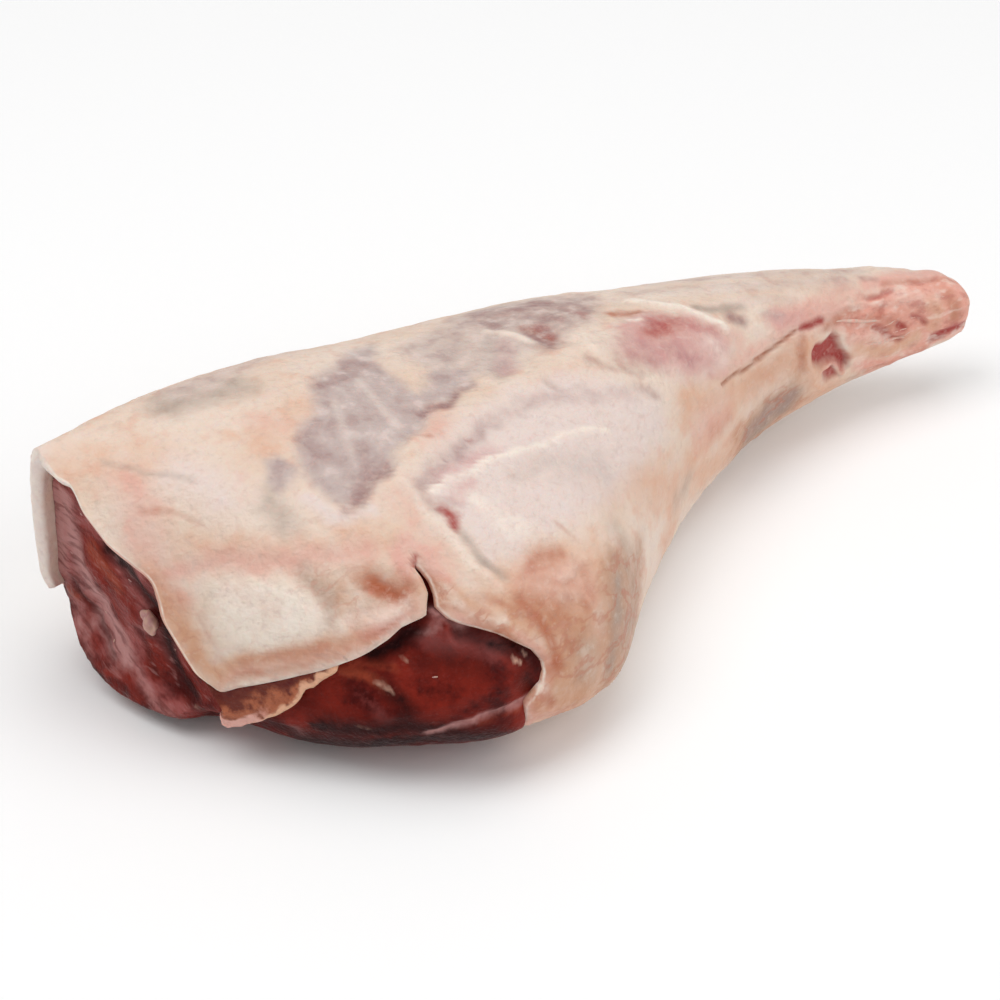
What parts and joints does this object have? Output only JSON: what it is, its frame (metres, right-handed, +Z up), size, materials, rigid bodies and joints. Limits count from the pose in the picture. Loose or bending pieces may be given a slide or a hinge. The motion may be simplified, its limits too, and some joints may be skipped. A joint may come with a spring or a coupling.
{
  "type": "raw leg of lamb",
  "caption": "Whole raw leg of lamb with the bone in, lying flat: a broad rump end cut straight through, a free flap of fat beside bare muscle, and a slim shank.",
  "frame": {"origin": "middle of the footprint, on the table that the leg lies on", "axes": "+X along the leg from the rump cut to the shank, +Y towards the straight back edge, +Z up"},
  "size_m": [0.3942, 0.1822, 0.1],
  "materials": {
    "raw_meat": "moist satin: cream fat and thin membrane over dark red meat"
  },
  "bodies": {
    "root": {"leg_of_lamb": "raw_meat"}
  },
  "joints": []
}
